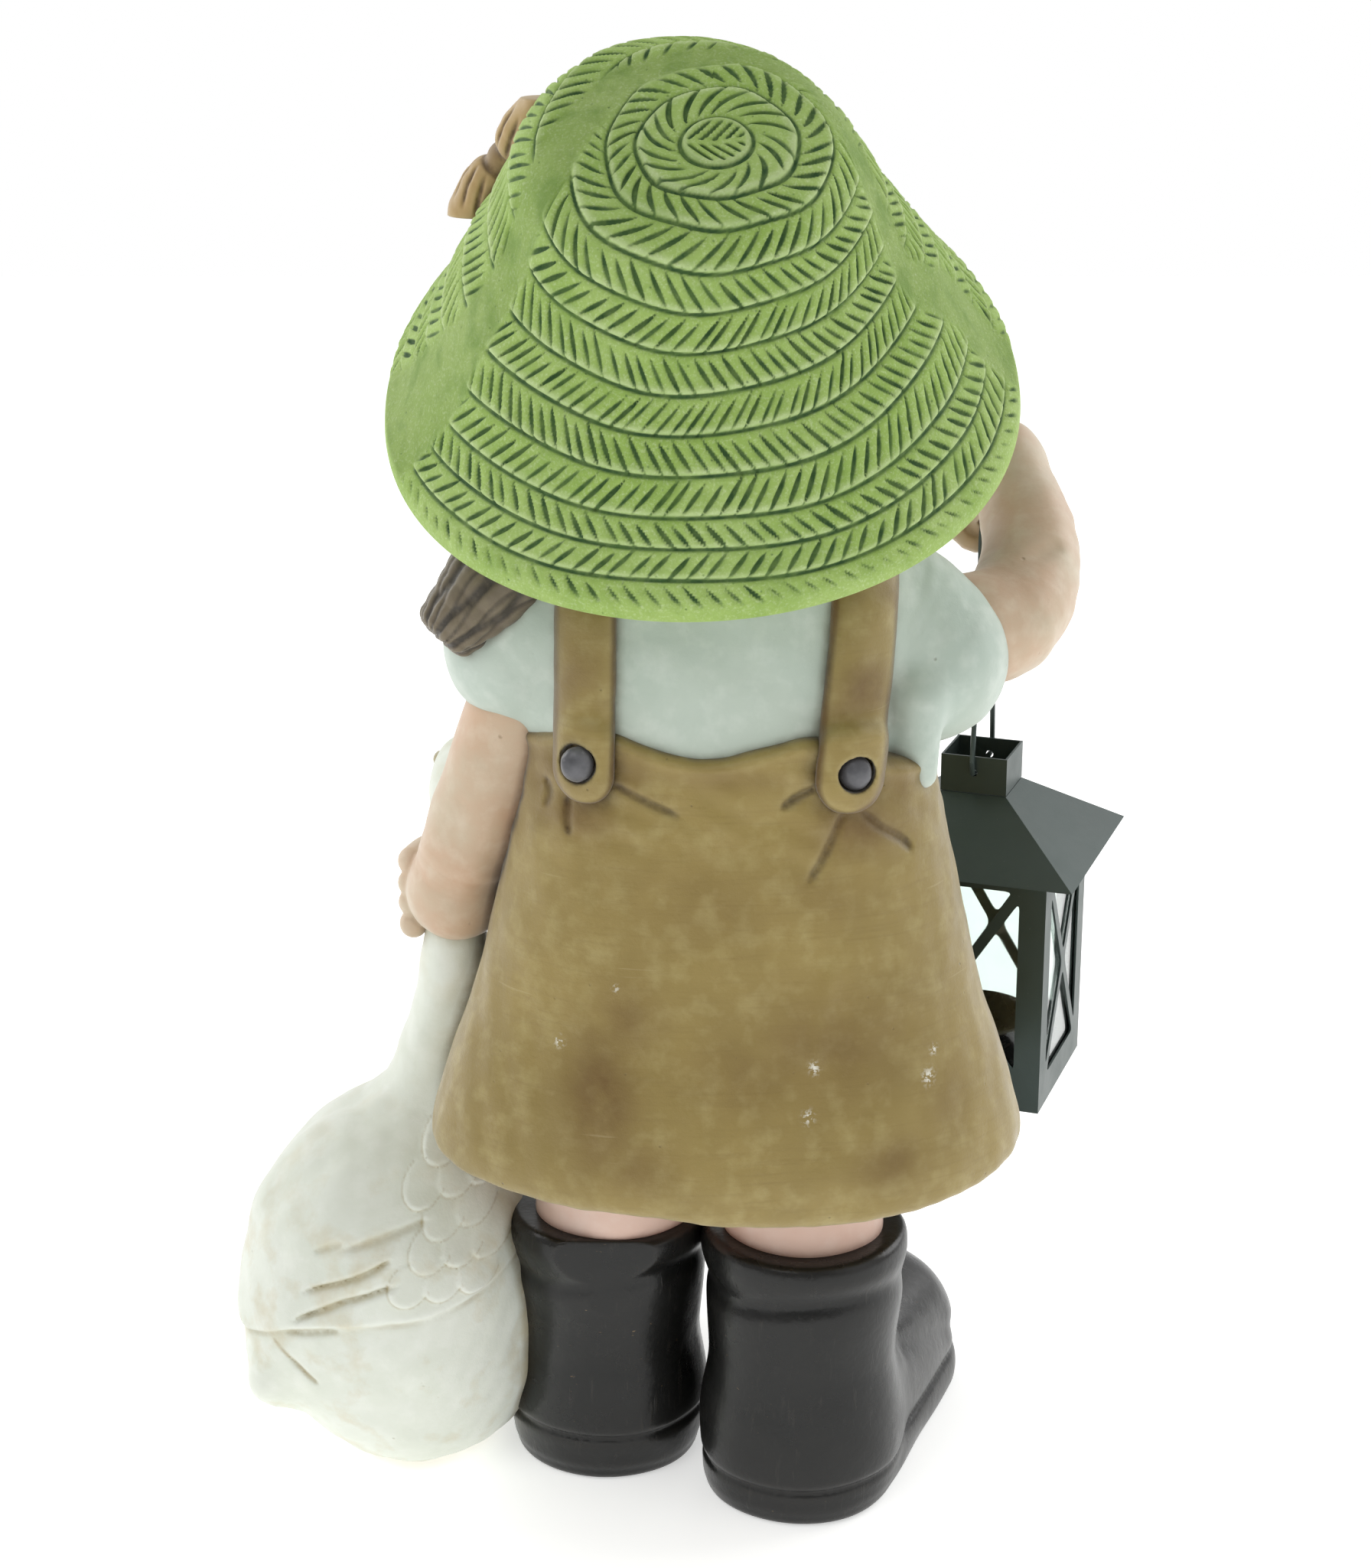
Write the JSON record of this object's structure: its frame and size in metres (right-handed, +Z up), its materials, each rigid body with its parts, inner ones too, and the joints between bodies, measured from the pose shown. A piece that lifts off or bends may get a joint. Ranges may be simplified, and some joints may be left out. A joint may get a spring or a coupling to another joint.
{
  "type": "garden figurine with hanging lantern",
  "caption": "Cast garden figure of a child in a straw hat holding a goose and a small hinged metal candle lantern that swings from its hand.",
  "frame": {"origin": "on the ground in the middle of the object's plan", "axes": "+Z up; the figure faces -Y; its left hand, with the goose, is on the +X side and the lantern hangs on the -X side"},
  "size_m": [0.3662, 0.2582, 0.5684],
  "materials": {
    "straw": "sandy matt paint over a cast braid texture, light green with dark olive wash in the grooves",
    "bow": "matt tan paint with a brown wash",
    "hair": "satin grey-brown paint, dark in the carved grooves",
    "skin": "smooth satin flesh paint with brush marks",
    "shirt": "smooth satin off-white paint",
    "tan": "antiqued khaki paint with brown patches, pits and fine scratches",
    "button": "dark grey satin paint",
    "boot": "satin brown-black paint with scuffs",
    "goose": "matt off-white paint with a thin tan wash in the feather grooves",
    "beak": "matt orange paint",
    "black_metal": "semi-gloss black-green paint on thin steel sheet",
    "glass": "clear flat pane"
  },
  "bodies": {
    "figure": {"boot_left": "boot", "boot_right": "boot", "leg_left": "skin", "leg_right": "skin", "skirt": "tan", "shirt": "shirt", "strap_left": "tan", "strap_right": "tan", "strap_button_back_left": "button", "strap_button_back_right": "button", "strap_button_front_left": "button", "strap_button_front_right": "button", "arm_left": "skin", "arm_right": "skin", "head": "skin", "hair": "hair", "pigtail_left": "hair", "pigtail_right": "hair", "hat": "straw", "hat_bow": "bow", "goose_body": "goose", "goose_head": "goose", "goose_beak": "beak"},
    "bail": {"lantern_bail": "black_metal"},
    "lantern": {"lantern_frame": "black_metal", "lantern_base": "black_metal", "lantern_roof": "black_metal", "lantern_chimney": "black_metal", "candle_cup": "black_metal", "glass_back": "glass", "glass_left": "glass", "glass_right": "glass", "door_hinge_pin": "black_metal"},
    "door": {"lantern_door": "black_metal", "door_glass": "glass", "door_knob": "black_metal"}
  },
  "joints": [
    {"name": "bail_swing", "type": "hinge", "parent": "figure", "child": "bail", "pos_m": [-0.11834, -0.06434, 0.374], "axis": [0.3322, 0.9432, 0], "range_deg": [-20, 20]},
    {"name": "lantern_swing", "type": "hinge", "parent": "bail", "child": "lantern", "pos_m": [-0.11834, -0.06434, 0.269], "axis": [0.3322, 0.9432, 0], "range_deg": [-20, 20]},
    {"name": "lantern_door", "type": "hinge", "parent": "lantern", "child": "door", "pos_m": [-0.16106, -0.09022, 0.1845], "axis": [0, 0, -1], "range_deg": [0, 110]}
  ]
}
